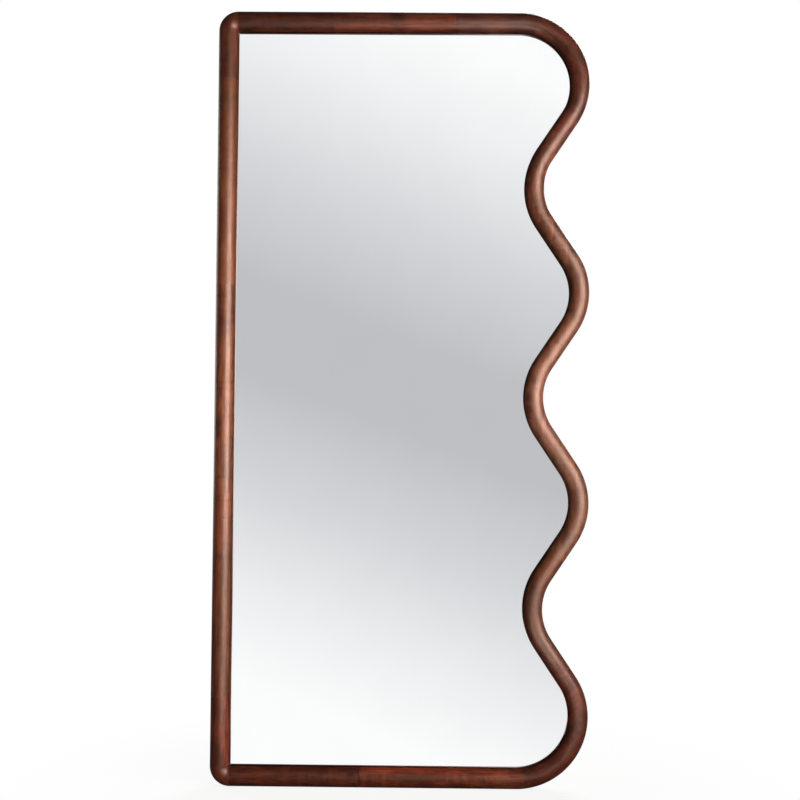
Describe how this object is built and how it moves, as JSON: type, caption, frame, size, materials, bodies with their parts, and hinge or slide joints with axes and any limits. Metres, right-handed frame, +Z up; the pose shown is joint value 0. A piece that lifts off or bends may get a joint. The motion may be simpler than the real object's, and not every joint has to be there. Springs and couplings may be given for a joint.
{
  "type": "floor mirror",
  "caption": "Tall leaning floor mirror in a round-nosed solid timber frame, straight on three sides and wavy on the fourth, with hanging rings at its back.",
  "frame": {"origin": "centre of the outline at floor level, under the foot pads", "axes": "+Z up the mirror, -Y out of the reflecting face, +X towards the wavy side"},
  "size_m": [0.82, 0.048, 1.7],
  "materials": {
    "walnut": "satin lacquer",
    "beech": "plain",
    "mirror_glass": "silvered and polished",
    "black_plastic": "matt",
    "grey_foam": "matt",
    "plywood": "sanded, unlacquered",
    "zinc_steel": "bright zinc plate",
    "black_rubber": "matt"
  },
  "bodies": {
    "mirror": {"stile_top_block": "walnut", "stile_upper_block": "walnut", "stile_middle_block": "walnut", "stile_lower_block": "walnut", "stile_bottom_block": "walnut", "top_rail_left": "walnut", "top_rail_middle": "walnut", "top_rail_right": "walnut", "bottom_rail_left": "walnut", "bottom_rail_right": "walnut", "wave_block_1": "walnut", "wave_block_2": "walnut", "wave_block_3": "walnut", "wave_block_4": "walnut", "wave_block_5": "walnut", "wave_block_6": "walnut", "wave_block_7": "walnut", "stile_dowels": "beech", "rail_dowels": "beech", "wave_dowels": "beech", "mirror_glass": "mirror_glass", "setting_blocks": "black_plastic", "foam_sheet": "grey_foam", "back_panel": "plywood", "panel_screws": "zinc_steel", "hanger_strap_left": "zinc_steel", "hanger_strap_right": "zinc_steel", "hanger_screws": "zinc_steel", "wall_bumpers": "black_rubber", "foot_pads": "black_rubber"},
    "left_ring": {"hanger_ring_left": "zinc_steel"},
    "right_ring": {"hanger_ring_right": "zinc_steel"}
  },
  "joints": [
    {"name": "left_ring_swing", "type": "hinge", "parent": "mirror", "child": "left_ring", "pos_m": [-0.3985, 0.019, 1.569], "axis": [1, 0, 0], "range_deg": [0, 180]},
    {"name": "right_ring_swing", "type": "hinge", "parent": "mirror", "child": "right_ring", "pos_m": [0.3985, 0.019, 1.569], "axis": [1, 0, 0], "range_deg": [0, 180]}
  ]
}
